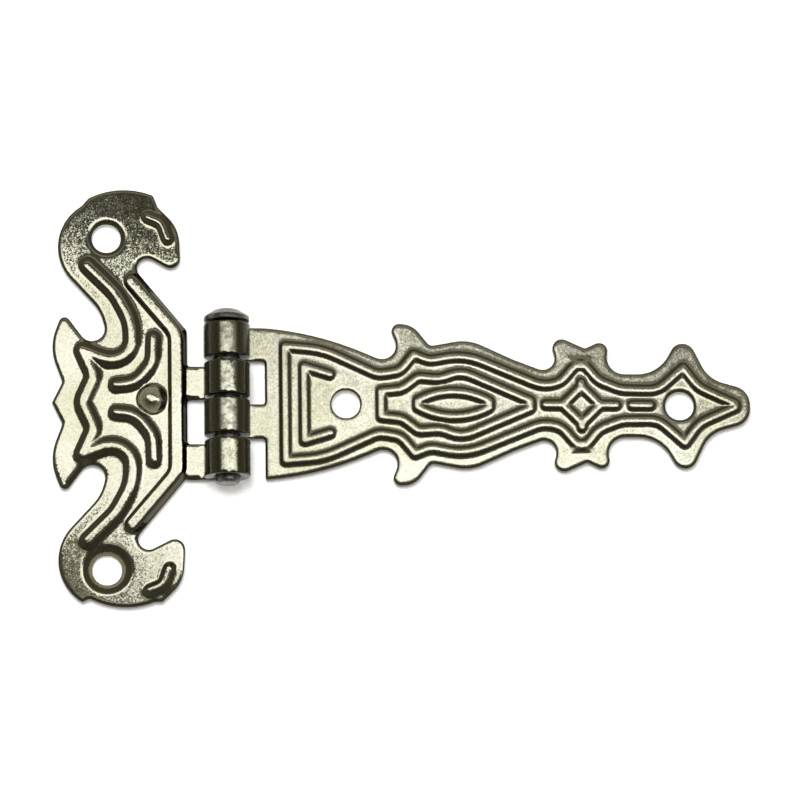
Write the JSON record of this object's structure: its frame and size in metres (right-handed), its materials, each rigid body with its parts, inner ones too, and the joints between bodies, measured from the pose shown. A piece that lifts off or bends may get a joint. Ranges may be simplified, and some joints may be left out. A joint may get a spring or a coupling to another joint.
{
  "type": "strap_hinge",
  "caption": "Decorative pressed-steel strap hinge with an ornate spear-shaped strap, a butterfly frame leaf, embossed scrolls and a headed pin.",
  "frame": {"origin": "on the back plane of the leaves, straight behind the pin, level with the strap's middle line", "axes": "+X along the strap towards its tip, +Y along the pin towards its head, +Z out of the front of the leaves"},
  "size_m": [0.1101, 0.0671, 0.0073],
  "materials": {
    "plated_sheet": "satin nickel plate with a warm tint",
    "pin_steel": "plain drawn steel"
  },
  "bodies": {
    "frame": {"frame_leaf": "plated_sheet", "hinge_pin": "pin_steel"},
    "strap": {"strap_leaf": "plated_sheet"}
  },
  "joints": [
    {"name": "hinge", "type": "hinge", "parent": "frame", "child": "strap", "pos_m": [0, 0, 0.00365], "axis": [0, -1, 0], "range_deg": [-90, 180]}
  ]
}
